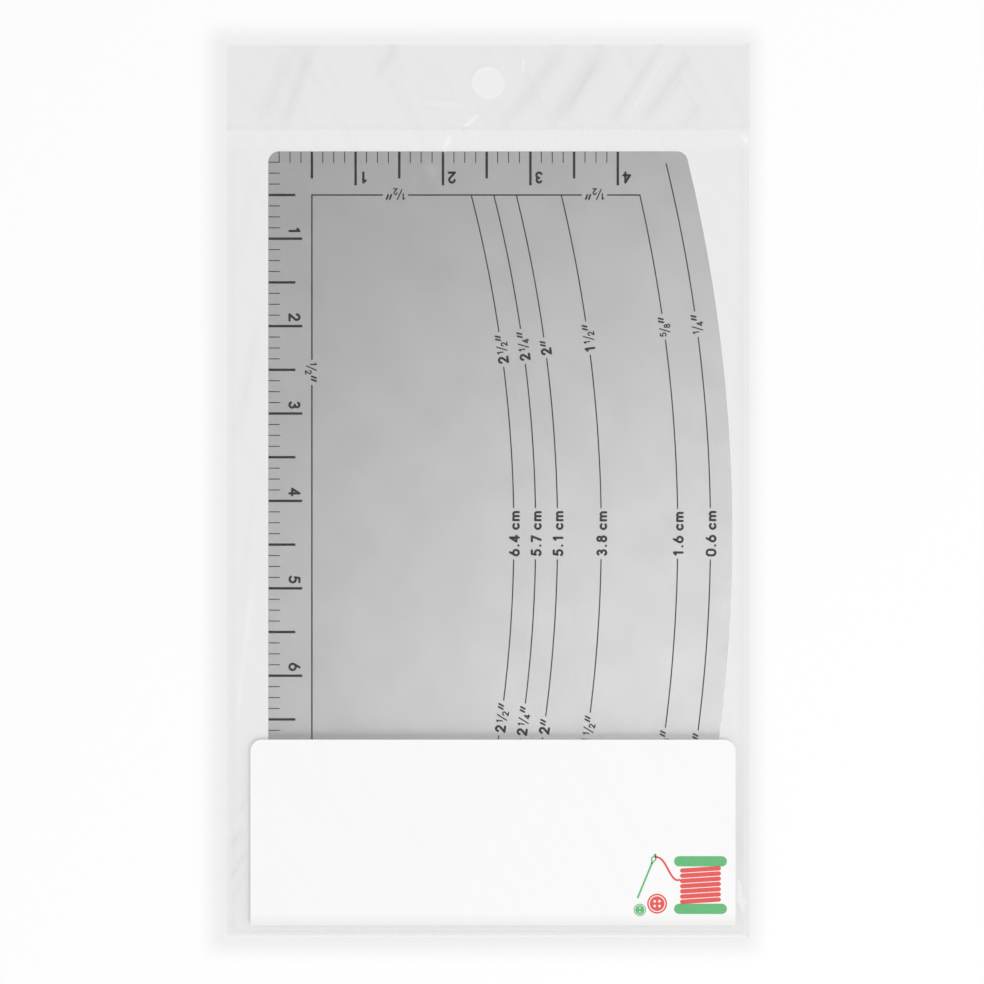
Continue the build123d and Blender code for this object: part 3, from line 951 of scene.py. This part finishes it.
@dataclass
class Pouch:
    """Clear pouch: two films, a laminated header, an adhesive strip and three welds."""

    front: FrontSurface
    film: bpy.types.Material
    header: bpy.types.Material
    back: bpy.types.Material
    weld: bpy.types.Material
    adhesive: bpy.types.Material
    edge: bpy.types.Material
    film_thickness: float = 0.1
    tape_room: float = 0.05
    tape_share: float = 0.9
    mouth_step: float = 0.05
    pitch: float = 1.5
    header_pitch: float = 0.9
    back_pitch: float = 3.0
    # Share of the front film's painted shade along creases that the back film gets.
    back_crease_shade: float = 0.3
    side_weld_step: float = 0.055
    foot_weld_step: float = 0.07
    slope_share: float = 0.64
    bead_height: float = 0.05
    bead_width: float = 0.45
    bead_place: float = 0.6
    # Painted highlight along the pouch's left edge and painted shade along its right edge.
    left_rim_width: float = 0.6
    left_rim_gleam: float = 0.35
    right_rim_width: float = 0.45
    right_rim_shade: float = 0.7

    def __post_init__(self) -> None:
        """Reads the pouch's outline from the frame."""
        back, front = Box.of("back_film"), Box.of("front_film")
        self.half_width, self.foot_y, self.mouth_y = back.right, back.foot, back.head
        self.sleeve_foot_y, self.head_y = front.foot, front.head
        self.header_y = Box.of("header_strip").foot
        self.sleeve_half_width = -Box.of("left_side_weld").right
        self.pieces: list[bpy.types.Object] = []

    def build(self) -> list[bpy.types.Object]:
        """Builds every piece of the pouch.

        Returns:
            The pieces.
        """
        self.build_front_film()
        self.build_header_strip()
        self.build_adhesive_strip()
        self.build_back_film()
        self.build_side_weld("left_side_weld", -1)
        self.build_side_weld("right_side_weld", 1)
        self.build_foot_weld()
        return self.pieces

    def keep(self, piece: bpy.types.Object, node: str) -> None:
        """Joins a finished piece to the pouch.

        Args:
            piece: The piece.
            node: The node that it stands for.
        """
        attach(piece, "pouch")
        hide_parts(node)
        cast_no_shadow(piece)
        self.pieces.append(piece)

    def build_front_film(self) -> None:
        """Builds the front film: narrower in the sleeve, where the welds carry on from it."""
        sleeve = steps(self.sleeve_foot_y, self.mouth_y, self.pitch)
        header = steps(self.mouth_y + self.mouth_step, self.head_y, self.header_pitch)
        rows = np.concatenate([sleeve, header])[:, None]
        half_widths = np.where(rows <= self.mouth_y, self.sleeve_half_width, self.half_width)
        shares = steps(-1, 1, self.header_pitch / self.half_width)
        piece = self.front.lay("front_film_sheet", Grid(half_widths * shares, rows, self.front.hole), 0)
        thicken(piece, self.film_thickness)
        dress(piece, self.film, self.film)
        self.keep(piece, "front_film")

    def header_grid(self, foot_y: float) -> Grid:
        """Outline of a header layer from a height up to the pouch's head, with its hang hole."""
        columns = steps(-self.half_width, self.half_width, self.header_pitch)
        return Grid(columns, steps(foot_y, self.head_y, self.header_pitch)[:, None], self.front.hole)

    def build_header_strip(self) -> None:
        """Builds the strip of film laminated on the header."""
        grid = self.header_grid(self.header_y)
        piece = self.front.lay("header_strip_sheet", grid, self.film_thickness)
        thicken(piece, self.film_thickness)
        dress(piece, self.header, self.edge)
        self.keep(piece, "header_strip")

    def build_adhesive_strip(self) -> None:
        """Builds the adhesive under the front film, between the mouth and the header."""
        columns = steps(-self.half_width, self.half_width, self.header_pitch)
        rows = steps(self.mouth_y, self.header_y, self.header_pitch)
        piece = self.front.lay("adhesive_strip_band", Grid(columns, rows[:, None]), -self.tape_room)
        thicken(piece, self.tape_room * self.tape_share)
        dress(piece, self.adhesive, self.edge)
        self.keep(piece, "adhesive_strip")

    def build_back_film(self) -> None:
        """Builds the back film, flat on the table."""
        columns = steps(-self.half_width, self.half_width, self.back_pitch)
        grid = Grid(columns, steps(self.foot_y, self.mouth_y, self.back_pitch)[:, None])
        piece = new_sheet("back_film_sheet", grid, 0.0)
        mark_film(piece, self.back_crease_shade * self.front.crease_shade(*grid.corners.T), 0.0)
        thicken(piece, self.film_thickness)
        dress(piece, self.back, self.edge)
        self.keep(piece, "back_film")

    def weld_height(self, share: np.ndarray, inner: np.ndarray, run: float) -> np.ndarray:
        """Height across a weld, from the front film down to a land with a bead at its outer edge.

        Args:
            share: Share of the weld's run, outwards.
            inner: Height of the front film beside it.
            run: The weld's run.

        Returns:
            Heights.
        """
        land = self.film_thickness
        slope = inner + (land - inner) * ease(share / self.slope_share)
        bead = self.bead_width / run
        return slope + self.bead_height * bell(share - 1 + bead * self.bead_place, bead / 2)

    def finish_weld(self, node: str, grid: Grid, height: np.ndarray, turned: bool = False) -> None:
        """Makes a weld and joins it to the pouch.

        Args:
            node: The node that it stands for.
            grid: Its outline.
            height: Height of each corner, in rows and columns.
            turned: Whether the grid's own faces look down.
        """
        piece = new_sheet(f"{node}_seam", grid, height.ravel(), turned)
        x, y = grid.corners.T
        # Painted shade along the right edge, painted highlight along the left edge.
        crease_shade = self.right_rim_shade * bell(x - self.half_width, self.right_rim_width)
        gleam = self.left_rim_gleam * bell(x + self.half_width, self.left_rim_width)
        crease_shade = np.clip(self.front.crease_shade(x, y) + crease_shade, 0, 1)
        mark_film(piece, crease_shade, np.clip(self.front.gleam(x, y) + gleam, 0, 1))
        thicken(piece, self.film_thickness)
        dress(piece, self.weld, self.weld)
        self.keep(piece, node)

    def build_side_weld(self, node: str, side: int) -> None:
        """Builds a side weld, which runs down from the front film to the back film.

        Args:
            node: The node that it stands for.
            side: -1 on the left, 1 on the right.
        """
        run = self.half_width - self.sleeve_half_width
        shares = steps(0, 1, self.side_weld_step)
        lengths = steps(0, 1, self.pitch / (self.mouth_y - self.foot_y))[:, None]
        across = side * (self.sleeve_half_width + run * shares)
        foot = self.sleeve_foot_y - (self.sleeve_foot_y - self.foot_y) * shares
        up = foot + (self.mouth_y - foot) * lengths
        height = self.weld_height(shares, self.front.height(across[:1], up[:, :1]), run)
        self.finish_weld(node, Grid(across, up), height, turned=side < 0)

    def build_foot_weld(self) -> None:
        """Builds the foot weld, mitred into the side welds."""
        run = self.sleeve_foot_y - self.foot_y
        shares = steps(0, 1, self.foot_weld_step)[::-1, None]
        lengths = steps(-1, 1, self.pitch / self.half_width)
        across = (self.sleeve_half_width + (self.half_width - self.sleeve_half_width) * shares) * lengths
        inner = self.front.height(self.sleeve_half_width * lengths, self.sleeve_foot_y)
        grid = Grid(across, self.sleeve_foot_y - run * shares)
        self.finish_weld("foot_weld", grid, self.weld_height(shares, inner, run))


@dataclass
class ClosingLip:
    """Lip of film behind the header, which folds back to open the mouth."""

    pouch: Pouch
    thickness: float = 0.1
    hinge_gap: float = 0.06
    crease_shade_share: float = 0.35
    crease_shade_shift: float = 1.5

    def build(self) -> list[bpy.types.Object]:
        """Builds the lip, flat on the table at rest.

        Returns:
            The one piece.
        """
        grid = self.pouch.header_grid(self.pouch.mouth_y + self.hinge_gap)
        x, y = grid.corners.T
        piece = new_sheet("closing_lip_sheet", grid, 0.0)
        # The lip gets a share of the front film's painted shade along creases, shifted aside.
        mark_film(piece, self.crease_shade_share * self.pouch.front.crease_shade(x + self.crease_shade_shift, y), 0.0)
        thicken(piece, self.thickness)
        dress(piece, self.pouch.back, self.pouch.edge)
        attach(piece, "lip")
        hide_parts("closing_lip")
        cast_no_shadow(piece)
        return [piece]


# Card


@dataclass
class Card:
    """White card folded round the gauge's foot."""

    stock: float = 0.35
    corner_radius: float = 3.3
    fold_reach: float = 2.7
    pitch: float = 3.0
    corner_steps: int = 8
    fold_steps: int = 24

    def __post_init__(self) -> None:
        """Reads the card's outline from the frame."""
        front = Box.of("card_front_panel")
        self.left_x, self.right_x = front.left, front.right
        self.head_y, self.front_z = front.head, front.top
        self.back_z = Box.of("card_back_panel").bottom
        self.foot_y = Box.of("card_fold").foot

    def section(self) -> tuple[np.ndarray, np.ndarray, np.ndarray]:
        """Outer line of the folded card from its front head edge round to its back head edge.

        Returns:
            Heights along Y, heights along Z and the distance of each row from its own head edge.
        """
        turn = np.linspace(0, math.pi / 2, self.corner_steps)
        corner = self.corner_radius * (1 - np.cos(turn))
        panel = steps(self.corner_radius, self.head_y - self.foot_y - self.fold_reach, self.pitch)
        from_head = np.concatenate([corner[:-1], panel])
        half_depth = (self.front_z - self.back_z) / 2
        angles = np.linspace(0, math.pi, self.fold_steps + 1)[1:-1]
        fold_y = self.foot_y + self.fold_reach * (1 - np.sin(angles))
        fold_z = self.back_z + half_depth * (1 + np.cos(angles))
        front, back = np.full(len(from_head), self.front_z), np.full(len(from_head), self.back_z)
        up = np.concatenate([self.head_y - from_head, fold_y, (self.head_y - from_head)[::-1]])
        far = np.full(len(fold_y), self.corner_radius)
        return up, np.concatenate([front, fold_z, back]), np.concatenate([from_head, far, from_head[::-1]])

    def build(self) -> list[bpy.types.Object]:
        """Builds the folded sheet.

        Returns:
            The one piece.
        """
        up, level, from_head = self.section()
        inset = np.minimum(from_head, self.corner_radius)
        cut = self.corner_radius - np.sqrt(self.corner_radius**2 - (self.corner_radius - inset) ** 2)
        middle, half = (self.left_x + self.right_x) / 2, (self.right_x - self.left_x) / 2
        shares = steps(-1, 1, self.pitch / half)
        grid = Grid(middle + (half - cut)[:, None] * shares, up[:, None])
        piece = new_sheet("folded_card", grid, np.repeat(level, len(shares)), turned=True)
        thicken(piece, self.stock, -1.0)
        paper = CoatedCard(self.foot_y, band_half_width=2 * half).build()
        dress(piece, paper, paper)
        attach(piece, "card")
        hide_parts("card_front_panel", "card_back_panel", "card_fold")
        return [piece]


def disc(middle: Point, radius: float, sides: int = 40) -> Outline:
    """Corners of a round shape."""
    turns = [FULL_TURN * side / sides for side in range(sides)]
    return [(middle[0] + radius * math.cos(t), middle[1] + radius * math.sin(t)) for t in turns]


def bar(start: Point, end: Point, width: float, sides: int = 8) -> Outline:
    """Draws a straight bar with round ends.

    Args:
        start: Middle of its first end.
        end: Middle of its second end.
        width: Its width.
        sides: How many sides each round end has.

    Returns:
        Its corners.
    """
    lean = math.atan2(end[1] - start[1], end[0] - start[0])
    corners, radius = [], width / 2
    for middle, first in ((end, lean - math.pi / 2), (start, lean + math.pi / 2)):
        turns = [first + math.pi * side / sides for side in range(sides + 1)]
        corners += [(middle[0] + radius * math.cos(t), middle[1] + radius * math.sin(t)) for t in turns]
    return corners


def ribbon(places: Outline, width: float) -> Outline:
    """Draws a band of even width.

    Args:
        places: The line along its middle.
        width: Its width.

    Returns:
        Its corners.
    """
    line = np.array(places)
    run = np.gradient(line, axis=0)
    aside = np.stack([-run[:, 1], run[:, 0]], axis=1) / np.linalg.norm(run, axis=1, keepdims=True)
    left, right = line + aside * width / 2, line - aside * width / 2
    return [tuple(place) for place in np.concatenate([right, left[::-1]]).tolist()]


@dataclass(frozen=True)
class Button:
    """A printed button: a ring round a plate with holes.

    Sizes that end in share are shares of its radius.
    """

    middle: Point
    radius: float
    holes: int
    ring_share: float = 0.84
    plate_share: float = 0.74
    hole_place_share: float = 0.34
    hole_share: float = 0.13
    hole_sides: int = 12

    def outline(self) -> tuple[Outline, Faces]:
        """Draws the button.

        Returns:
            Its corners and faces.
        """
        outer, inner = disc(self.middle, self.radius), disc(self.middle, self.radius * self.ring_share)
        count, slices = len(outer), self.hole_sides * self.holes
        corners = outer + inner + disc(self.middle, self.radius * self.plate_share, slices)
        pairs = [(side, (side + 1) % count) for side in range(count)]
        faces = [[side, after, count + after, count + side] for side, after in pairs]
        away = self.radius * self.hole_place_share
        firsts = []
        for hole in range(self.holes):
            turn = FULL_TURN * (hole + 0.5) / self.holes
            place = (self.middle[0] + away * math.cos(turn), self.middle[1] + away * math.sin(turn))
            firsts.append(len(corners))
            corners += disc(place, self.radius * self.hole_share, self.hole_sides)
        corners.append(self.middle)
        for hole, first in enumerate(firsts):
            low = hole * self.hole_sides
            rim = [2 * count + (low + step) % slices for step in range(self.hole_sides + 1)]
            faces += self.slice_faces(corners, rim, first)
        return corners, faces

    def slice_faces(self, corners: Outline, rim: list[int], first: int) -> Faces:
        """Cuts one slice of the plate open from its rim over its hole to the middle.

        Args:
            corners: All corners, with the button's middle last.
            rim: Numbers of the slice's corners on the plate's rim.
            first: Number of its hole's first corner.

        Returns:
            Its two faces.
        """
        core, half = len(corners) - 1, len(rim) // 2
        hole = range(first, first + self.hole_sides)
        start = min(hole, key=lambda n: math.dist(corners[n], corners[rim[half]]))
        nearest = min(hole, key=lambda n: math.dist(corners[n], corners[core]))
        order = [first + (start - first + step) % self.hole_sides for step in range(self.hole_sides)]
        turn_at = order.index(nearest)
        left, right = order[: turn_at + 1], order[turn_at:] + [order[0]]
        return [[*rim[half:], core, *left[::-1]], [core, *rim[: half + 1], *right[::-1]]]


@dataclass
class SewingEmblem:
    """A small print on the card: a spool with its thread, a threaded needle and two buttons.

    Places that end in at are measured from the spool's middle.
    """

    card: Card
    red: bpy.types.Material
    green: bpy.types.Material
    middle: Point = (61.9, -114.7)
    ink_thickness: float = 0.012
    spool_width: float = 11.6
    spool_height: float = 16.8
    flange_height: float = 3.0
    flange_overhang: float = 1.9
    turns: int = 7
    turn_gap: float = 0.22
    turn_inset: float = 0.5
    turn_lean: float = 0.22
    thread_width: float = 0.6
    tail_rise: float = 1.6
    tail_end_at: Point = (-13.4, 8.2)
    tail_steps: int = 24
    tail_wave: float = 1.5
    tail_fade: float = 0.4
    needle_head_at: Point = (-13.0, 9.0)
    needle_point_at: Point = (-18.2, -3.6)
    needle_width: float = 0.55
    eye_length: float = 3.0
    eye_bow: float = 0.62
    eye_side_width: float = 0.42
    large_button_at: Point = (-12.6, -5.4)
    small_button_at: Point = (-17.6, -7.2)
    large_button_radius: float = 2.9
    small_button_radius: float = 1.798

    def build(self) -> list[bpy.types.Object]:
        """Prints both colours.

        Returns:
            The printed pieces.
        """
        large = Button(self.place(self.large_button_at), self.large_button_radius, 4)
        small = Button(self.place(self.small_button_at), self.small_button_radius, 2)
        return [
            self.print_outlines("card_print_thread", self.red, self.thread_turns() + self.thread_tail()),
            self.print_outlines("card_print_spool", self.green, self.flanges()),
            self.print_outlines("card_print_needle", self.green, self.needle()),
            self.print_faces("card_print_large_button", self.red, *large.outline()),
            self.print_faces("card_print_small_button", self.green, *small.outline()),
        ]

    def place(self, offset: Point) -> Point:
        """Returns a place on the card from its offset from the spool's middle."""
        return self.middle[0] + offset[0], self.middle[1] + offset[1]

    def thread_turns(self) -> list[Outline]:
        """Draws the leaning bands of thread between the flanges.

        Returns:
            One outline for each turn.
        """
        depth = self.spool_height - 2 * self.flange_height - self.turn_gap
        pitch = depth / self.turns
        half, lean = self.spool_width / 2 - self.turn_inset, pitch * self.turn_lean
        bands = []
        for turn in range(self.turns):
            rise = pitch * (turn + 0.5) - depth / 2
            start, end = self.place((-half, rise - lean)), self.place((half, rise + lean))
            bands.append(bar(start, end, pitch - self.turn_gap))
        return bands

    def thread_tail(self) -> list[Outline]:
        """Draws the loose thread that runs from the spool to the needle's eye in one long wave.

        Returns:
            Its one outline.
        """
        start = self.place((-self.spool_width / 2, self.tail_rise))
        end = self.place(self.tail_end_at)
        share = np.linspace(0, 1, self.tail_steps + 1)
        wave = self.tail_wave * np.sin(share * FULL_TURN) * (1 - share * self.tail_fade)
        x = start[0] + (end[0] - start[0]) * share
        y = start[1] + (end[1] - start[1]) * share - wave
        return [ribbon(list(zip(x.tolist(), y.tolist())), self.thread_width)]

    def flanges(self) -> list[Outline]:
        """Draws the top and bottom flanges of the spool.

        Returns:
            Their outlines.
        """
        half = self.spool_width / 2 + self.flange_overhang - self.flange_height / 2
        reach = self.spool_height / 2 - self.flange_height / 2
        ends = [(self.place((-half, rise)), self.place((half, rise))) for rise in (-reach, reach)]
        return [bar(start, end, self.flange_height) for start, end in ends]

    def needle(self) -> list[Outline]:
        """Draws a needle that leans to the left of the spool, with two sides that part round its eye.

        Returns:
            Outlines of its shaft and of the eye's two sides.
        """
        head, point = self.place(self.needle_head_at), self.place(self.needle_point_at)
        lean = math.atan2(point[1] - head[1], point[0] - head[0])
        eye_end = (head[0] + self.eye_length * math.cos(lean), head[1] + self.eye_length * math.sin(lean))
        middle = ((head[0] + eye_end[0]) / 2, (head[1] + eye_end[1]) / 2)
        outlines = [bar(eye_end, point, self.needle_width)]
        for bow in (-self.eye_bow, self.eye_bow):
            side = (middle[0] + bow * math.sin(lean), middle[1] - bow * math.cos(lean))
            outlines.append(ribbon([head, side, eye_end], self.eye_side_width))
        return outlines

    def print_outlines(
        self, name: str, ink: bpy.types.Material, outlines: list[Outline]
    ) -> bpy.types.Object:
        """Prints filled shapes side by side as one piece.

        Args:
            name: The piece's name.
            ink: Its material.
            outlines: The shapes.

        Returns:
            The piece.
        """
        corners, faces = [], []
        for outline in outlines:
            faces.append(list(range(len(corners), len(corners) + len(outline))))
            corners += outline
        return self.print_faces(name, ink, corners, faces)

    def print_faces(
        self, name: str, ink: bpy.types.Material, corners: Outline, faces: Faces
    ) -> bpy.types.Object:
        """Prints faces on the card's front.

        Args:
            name: The piece's name.
            ink: Its material.
            corners: Corners of the faces.
            faces: Corner numbers of each face.

        Returns:
            The piece.
        """
        piece = new_piece(name, np.array([(x, y, self.card.front_z) for x, y in corners]), faces)
        thicken(piece, self.ink_thickness)
        dress(piece, ink, ink)
        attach(piece, "card")
        return piece


# Gauge


@dataclass
class Gauge:
    """The printed aluminium plate, made of the frame's own nodes."""

    nodes: dict[str, bpy.types.Object]
    members: list[str]
    edge_round: float = 0.12
    edge_steps: int = 3

    def build(self) -> list[bpy.types.Object]:
        """Gives the plate its metal and a soft edge, and every run of print its ink.

        Returns:
            The plate and its runs of print.
        """
        metal, ink = SatinAluminium().build(), PlateInk().build()
        for name in self.members:
            node = self.nodes[name]
            is_plate = name == "hem_gauge_plate"
            dress(node, metal if is_plate else ink)
            if is_plate:
                bevel = node.modifiers.new("soft_edge", "BEVEL")
                bevel.width = self.edge_round * MM
                bevel.segments = self.edge_steps
                bevel.limit_method = "ANGLE"
            cast_no_shadow(node)
        return [self.nodes[name] for name in self.members]


# Studio


@dataclass
class Studio:
    """White table, soft even light and a camera straight above."""

    image_width: float = 285.96
    image_middle: Point = (1.35, -0.54)
    camera_height: float = 850.0
    sensor: float = 36.0
    table_half: float = 3000.0
    table_pitch: float = 375.0
    table_drop: float = 0.05
    plate_height: float = 1.5
    sky_light: float = 0.77
    key_place: tuple[float, float, float] = (600.0, -550.0, 2350.0)
    key_size: Point = (1000.0, 1750.0)
    key_power: float = 16.8

    def build(self) -> None:
        """Sets up everything round the object."""
        self.build_table()
        self.build_sky()
        self.build_lamp()
        self.build_camera()
        bpy.context.scene.view_settings.view_transform = "Standard"

    def build_table(self) -> None:
        """Lays a wide sheet of white paper just under the pouch."""
        places = steps(-self.table_half, self.table_half, self.table_pitch)
        table = new_sheet("table_paper", Grid(places, places[:, None]), -self.table_drop)
        dress(table, StudioPaper().build())

    def build_sky(self) -> None:
        """Lights the scene evenly from all round, and shows as white where it is seen or mirrored."""
        world = bpy.data.worlds.new("studio_sky")
        bpy.context.scene.world = world
        world.use_nodes = True
        wiring = Wiring(world.node_tree)
        path = wiring.add("ShaderNodeLightPath").outputs
        seen = wiring.calculate("MAXIMUM", path["Is Camera Ray"], path["Is Glossy Ray"])
        seen = wiring.calculate("MAXIMUM", seen, path["Is Transmission Ray"])
        strength = wiring.remap(seen, (0.0, 1.0), (self.sky_light, 1.0))
        wiring.feed(world.node_tree.nodes["Background"], Color=(1.0, 1.0, 1.0), Strength=strength)

    def build_lamp(self) -> None:
        """Hangs a soft oblong lamp that faces the object."""
        light = bpy.data.lights.new("key_lamp", "AREA")
        light.shape = "RECTANGLE"
        light.size, light.size_y = self.key_size[0] * MM, self.key_size[1] * MM
        light.energy = self.key_power
        lamp = bpy.data.objects.new("key_lamp", light)
        lamp.location = [place * MM for place in self.key_place]
        lamp.rotation_mode = "QUATERNION"
        lamp.rotation_quaternion = (-lamp.location).to_track_quat("-Z", "Y")
        bpy.context.scene.collection.objects.link(lamp)

    def build_camera(self) -> None:
        """Hangs the camera straight above the middle of the picture."""
        camera = bpy.data.objects.new("camera", bpy.data.cameras.new("camera"))
        camera.data.sensor_width = self.sensor
        camera.data.lens = self.sensor * (self.camera_height - self.plate_height) / self.image_width
        camera.location = Vector((*self.image_middle, self.camera_height)) * MM
        bpy.context.scene.collection.objects.link(camera)
        bpy.context.scene.camera = camera


def main() -> None:
    """Builds the object and the studio round it, and logs the name of each piece."""
    logging.basicConfig(level=logging.INFO, format="%(message)s")
    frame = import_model()
    record = frame["record"]
    pouch = Pouch(
        front=FrontSurface(Hole.hang_hole(record)),
        film=ClearFilm("clear_film", haze=0.015).build(),
        header=ClearFilm("header_film", haze=0.015).build(),
        back=ClearFilm("back_film", haze=0.02).build(),
        weld=ClearFilm(
            "welded_film", haze=0.02, streak_across=900.0, gleam_haze=0.2, mirror_share=0.2
        ).build(),
        adhesive=ClearFilm(
            "adhesive_film",
            haze=0.05,
            tint=(0.95, 0.95, 0.95),
            streak_across=1400.0,
            streak_along=190.0,
            streak_turn=0.0,
            streak_haze=0.05,
        ).build(),
        edge=ClearFilm("film_edge", haze=0.25, tint=(0.9, 0.9, 0.9), mirror_share=0.0).build(),
    )
    card = Card()
    red = CardInk("red_ink", (0.76, 0.045, 0.04), (0.8, 0.075, 0.065)).build()
    green = CardInk("green_ink", (0.075, 0.44, 0.14), (0.11, 0.49, 0.18)).build()
    gauge = Gauge(frame["nodes"], record["behaviour"]["bodies"]["gauge"])
    for assembly in (pouch, ClosingLip(pouch), card, SewingEmblem(card, red, green), gauge):
        for piece in assembly.build():
            log.info("%s: %s", type(assembly).__name__, piece.name)
    Studio().build()


if __name__ == "__main__":
    main()
